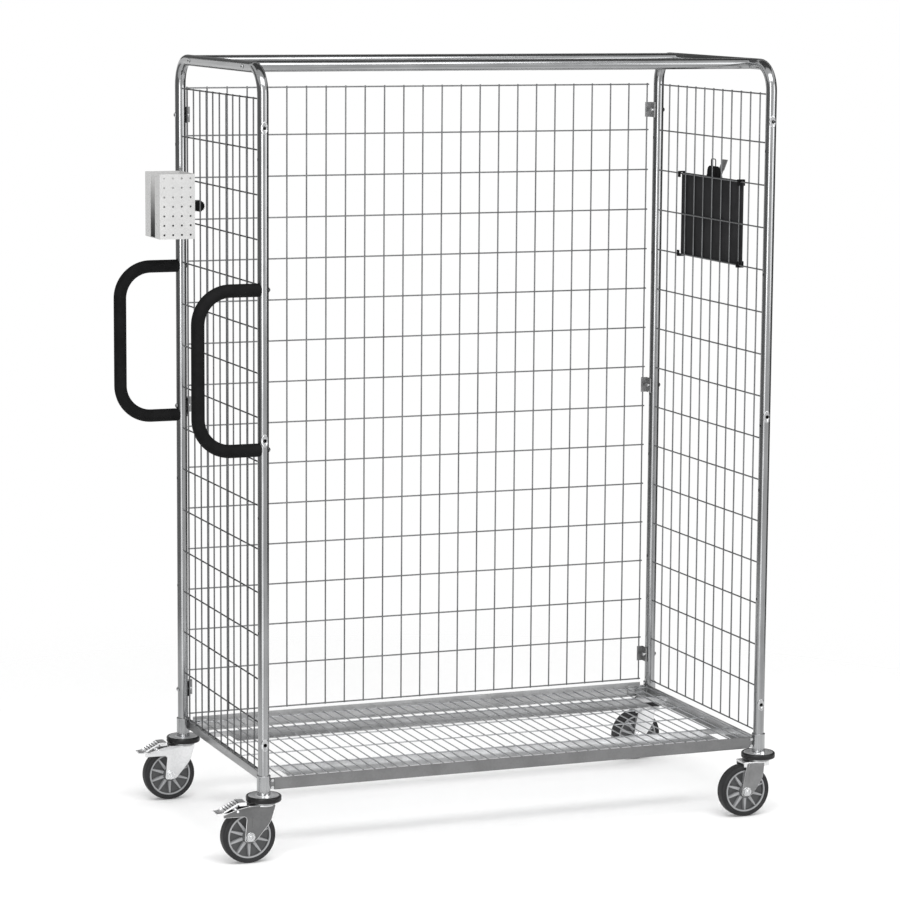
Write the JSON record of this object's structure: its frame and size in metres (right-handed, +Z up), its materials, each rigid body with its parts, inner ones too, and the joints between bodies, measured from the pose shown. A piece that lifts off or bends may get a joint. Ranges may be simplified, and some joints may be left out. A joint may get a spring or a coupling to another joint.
{
  "type": "order picking trolley",
  "caption": "Tall mesh-sided order picking trolley on swivel castors, open at the front, with push handles, a holder box and a clipboard on its ends.",
  "frame": {"origin": "on the floor under the middle of the trolley's bounding box", "axes": "+Z up, +X along the trolley away from the push handles, +Y from the open front to the back mesh"},
  "size_m": [1.4524, 0.705, 1.8],
  "materials": {
    "zinc_tube": "bright zinc plated tube",
    "zinc_wire": "bright zinc plated wire",
    "zinc_sheet": "satin galvanised sheet",
    "bright_steel": "polished zinc hardware",
    "black_rubber": "matt",
    "grey_tyre": "matt grey rubber",
    "grey_plastic": "moulded",
    "black_foam": "closed-cell foam sleeve",
    "black_plastic": "satin",
    "grey_paint": "light grey powder coat"
  },
  "bodies": {
    "frame": {"left_end_frame": "zinc_tube", "left_end_mesh": "zinc_wire", "left_rail": "zinc_sheet", "right_end_frame": "zinc_tube", "right_end_mesh": "zinc_wire", "right_rail": "zinc_sheet", "front_top_bar": "zinc_tube", "front_rail": "zinc_sheet", "front_support": "zinc_sheet", "front_handle": "zinc_tube", "front_grip": "black_foam", "rear_top_bar": "zinc_tube", "rear_rail": "zinc_sheet", "rear_support": "zinc_sheet", "rear_handle": "zinc_tube", "rear_grip": "black_foam", "front_left_socket": "zinc_sheet", "front_left_bumper": "black_rubber", "front_left_castor_head": "bright_steel", "rear_left_socket": "zinc_sheet", "rear_left_bumper": "black_rubber", "rear_left_castor_head": "bright_steel", "front_right_socket": "zinc_sheet", "front_right_bumper": "black_rubber", "front_right_castor_head": "bright_steel", "rear_right_socket": "zinc_sheet", "rear_right_bumper": "black_rubber", "rear_right_castor_head": "bright_steel", "back_mesh": "zinc_wire", "mesh_clips": "zinc_sheet", "frame_bolts": "bright_steel", "shelf_mesh": "zinc_wire", "shelf_bolts": "bright_steel", "bumper_washers": "bright_steel", "holder_box": "grey_paint", "holder_bracket": "zinc_sheet", "holder_jaw": "zinc_sheet", "clipboard": "black_plastic", "clipboard_corner_clips": "black_plastic", "clamp_base": "black_plastic"},
    "front_left_castor": {"front_left_fork": "zinc_sheet", "front_left_axle": "bright_steel"},
    "front_left_wheel": {"front_left_rim": "grey_plastic", "front_left_tyre": "grey_tyre"},
    "rear_left_castor": {"rear_left_fork": "zinc_sheet", "rear_left_axle": "bright_steel"},
    "rear_left_wheel": {"rear_left_rim": "grey_plastic", "rear_left_tyre": "grey_tyre"},
    "front_right_castor": {"front_right_fork": "zinc_sheet", "front_right_axle": "bright_steel"},
    "front_right_wheel": {"front_right_rim": "grey_plastic", "front_right_tyre": "grey_tyre"},
    "rear_right_castor": {"rear_right_fork": "zinc_sheet", "rear_right_axle": "bright_steel"},
    "rear_right_wheel": {"rear_right_rim": "grey_plastic", "rear_right_tyre": "grey_tyre"},
    "front_pedal": {"front_brake_pedal": "zinc_sheet"},
    "rear_pedal": {"rear_brake_pedal": "zinc_sheet"},
    "clamp_knob": {"holder_knob": "black_plastic"},
    "clip_lever": {"clamp_lever": "grey_paint"}
  },
  "joints": [
    {"name": "front_left_swivel", "type": "hinge", "parent": "frame", "child": "front_left_castor", "pos_m": [-0.55975, -0.3115, 0.1347], "axis": [0, 0, 1], "continuous": true},
    {"name": "front_left_wheel_spin", "type": "hinge", "parent": "front_left_castor", "child": "front_left_wheel", "pos_m": [-0.59775, -0.3115, 0.0625], "axis": [0, 1, 0], "continuous": true},
    {"name": "rear_left_swivel", "type": "hinge", "parent": "frame", "child": "rear_left_castor", "pos_m": [-0.55975, 0.3115, 0.1347], "axis": [0, 0, 1], "continuous": true},
    {"name": "rear_left_wheel_spin", "type": "hinge", "parent": "rear_left_castor", "child": "rear_left_wheel", "pos_m": [-0.59775, 0.3115, 0.0625], "axis": [0, 1, 0], "continuous": true},
    {"name": "front_right_swivel", "type": "hinge", "parent": "frame", "child": "front_right_castor", "pos_m": [0.68525, -0.3115, 0.1347], "axis": [0, 0, 1], "continuous": true},
    {"name": "front_right_wheel_spin", "type": "hinge", "parent": "front_right_castor", "child": "front_right_wheel", "pos_m": [0.64725, -0.3115, 0.0625], "axis": [0, 1, 0], "continuous": true},
    {"name": "rear_right_swivel", "type": "hinge", "parent": "frame", "child": "rear_right_castor", "pos_m": [0.68525, 0.3115, 0.1347], "axis": [0, 0, 1], "continuous": true},
    {"name": "rear_right_wheel_spin", "type": "hinge", "parent": "rear_right_castor", "child": "rear_right_wheel", "pos_m": [0.64725, 0.3115, 0.0625], "axis": [0, 1, 0], "continuous": true},
    {"name": "front_brake_press", "type": "hinge", "parent": "front_left_castor", "child": "front_pedal", "pos_m": [-0.62775, -0.3115, 0.124], "axis": [0, -1, 0], "range_deg": [0, 12]},
    {"name": "rear_brake_press", "type": "hinge", "parent": "rear_left_castor", "child": "rear_pedal", "pos_m": [-0.62775, 0.3115, 0.124], "axis": [0, -1, 0], "range_deg": [0, 12]},
    {"name": "holder_knob_turn", "type": "hinge", "parent": "frame", "child": "clamp_knob", "pos_m": [-0.55358, 0.183, 1.4491], "axis": [0, -1, 0], "range_deg": [0, 720]},
    {"name": "clip_lever_press", "type": "hinge", "parent": "frame", "child": "clip_lever", "pos_m": [0.70283, 0.0065, 1.4965], "axis": [0, -1, 0], "range_deg": [0, 25], "stiffness_Nm_per_rad": 0.6, "springref_deg": -22.92}
  ]
}
